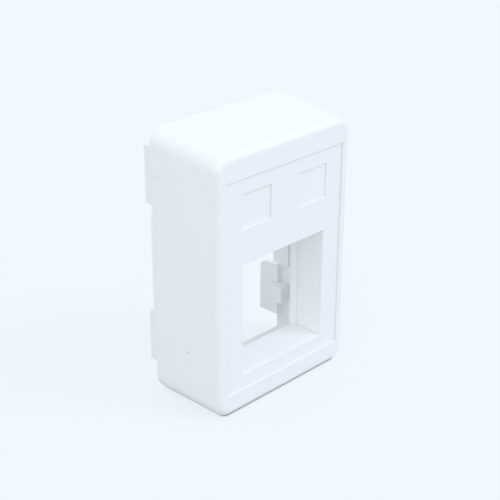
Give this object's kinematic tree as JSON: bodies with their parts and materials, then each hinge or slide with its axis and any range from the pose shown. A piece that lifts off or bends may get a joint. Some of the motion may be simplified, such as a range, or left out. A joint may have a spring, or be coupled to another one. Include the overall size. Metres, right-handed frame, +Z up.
{
  "type": "surface mount jack box housing",
  "caption": "Open-backed white plastic housing of a surface mount jack box, with a collared square jack opening, shallow label recesses and latch tabs behind its rim.",
  "frame": {"origin": "on the resting surface, under the middle of the box that holds the part, tabs included", "axes": "+Z up the long side as the part stands, +Y from the front face to the open back, +X to the right as seen from the front"},
  "size_m": [0.0466, 0.0274, 0.0702],
  "materials": {
    "white_plastic": "satin moulded white plastic with a very fine grain"
  },
  "bodies": {
    "root": {"housing": "white_plastic"}
  },
  "joints": []
}
